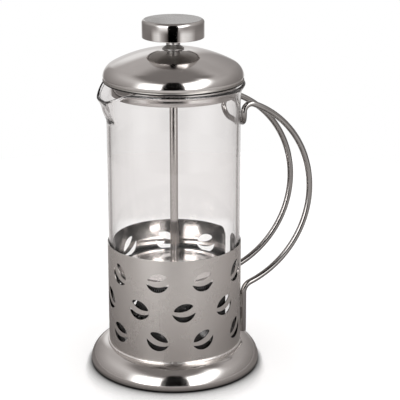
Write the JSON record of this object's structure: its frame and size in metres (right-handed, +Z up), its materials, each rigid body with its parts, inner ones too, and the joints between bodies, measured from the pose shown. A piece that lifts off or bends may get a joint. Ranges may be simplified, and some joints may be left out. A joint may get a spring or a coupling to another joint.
{
  "type": "french press",
  "caption": "Small glass french press in a steel stand with a wire handle, coffee-bean cut-outs, a domed lid and a knobbed plunger with a screen filter.",
  "frame": {"origin": "on the press axis, at the underside of the foot ring, where the press stands", "axes": "+Z up along the press axis, +X along the handle, -X along the pouring spout"},
  "size_m": [0.1189, 0.09, 0.1851],
  "materials": {
    "polished_steel": "mirror-polished stainless steel",
    "satin_steel": "satin stainless steel",
    "plain_steel": "plain rolled stainless steel",
    "weld_steel": "dressed weld",
    "woven_steel": "fine woven wire",
    "clear_glass": "clear heat-resistant glass",
    "black_rubber": "matte black rubber"
  },
  "bodies": {
    "stand": {"base_shell": "polished_steel", "base_pan": "satin_steel", "foot_ring": "black_rubber", "band": "satin_steel", "handle_wire": "polished_steel", "leg_welds": "weld_steel"},
    "jug": {"beaker": "clear_glass"},
    "lid": {"lid_dome": "polished_steel", "lid_skirt": "polished_steel", "guide_bush": "polished_steel", "guide_washer": "black_rubber", "guide_nut": "plain_steel"},
    "plunger": {"rod": "polished_steel", "spiral_plate": "polished_steel", "edge_coil": "plain_steel", "filter_screen": "woven_steel"},
    "knob": {"knob_shell": "polished_steel", "knob_core": "polished_steel"},
    "filter_clamp": {"cross_plate": "plain_steel", "filter_nut": "plain_steel"}
  },
  "joints": [
    {"name": "beaker_lift", "type": "slide", "parent": "stand", "child": "jug", "axis": [0, 0, 1], "range_m": [0, 0.15]},
    {"name": "lid_lift", "type": "slide", "parent": "jug", "child": "lid", "axis": [0, 0, 1], "range_m": [0, 0.12]},
    {"name": "plunger_slide", "type": "slide", "parent": "lid", "child": "plunger", "axis": [0, 0, 1], "range_m": [0, 0.0895]},
    {"name": "knob_unscrew", "type": "hinge", "parent": "plunger", "child": "knob", "pos_m": [0, 0, 0.176], "axis": [0, 0, 1], "continuous": true},
    {"name": "filter_unscrew", "type": "hinge", "parent": "plunger", "child": "filter_clamp", "pos_m": [0, 0, 0.0485], "axis": [0, 0, 1], "continuous": true}
  ]
}
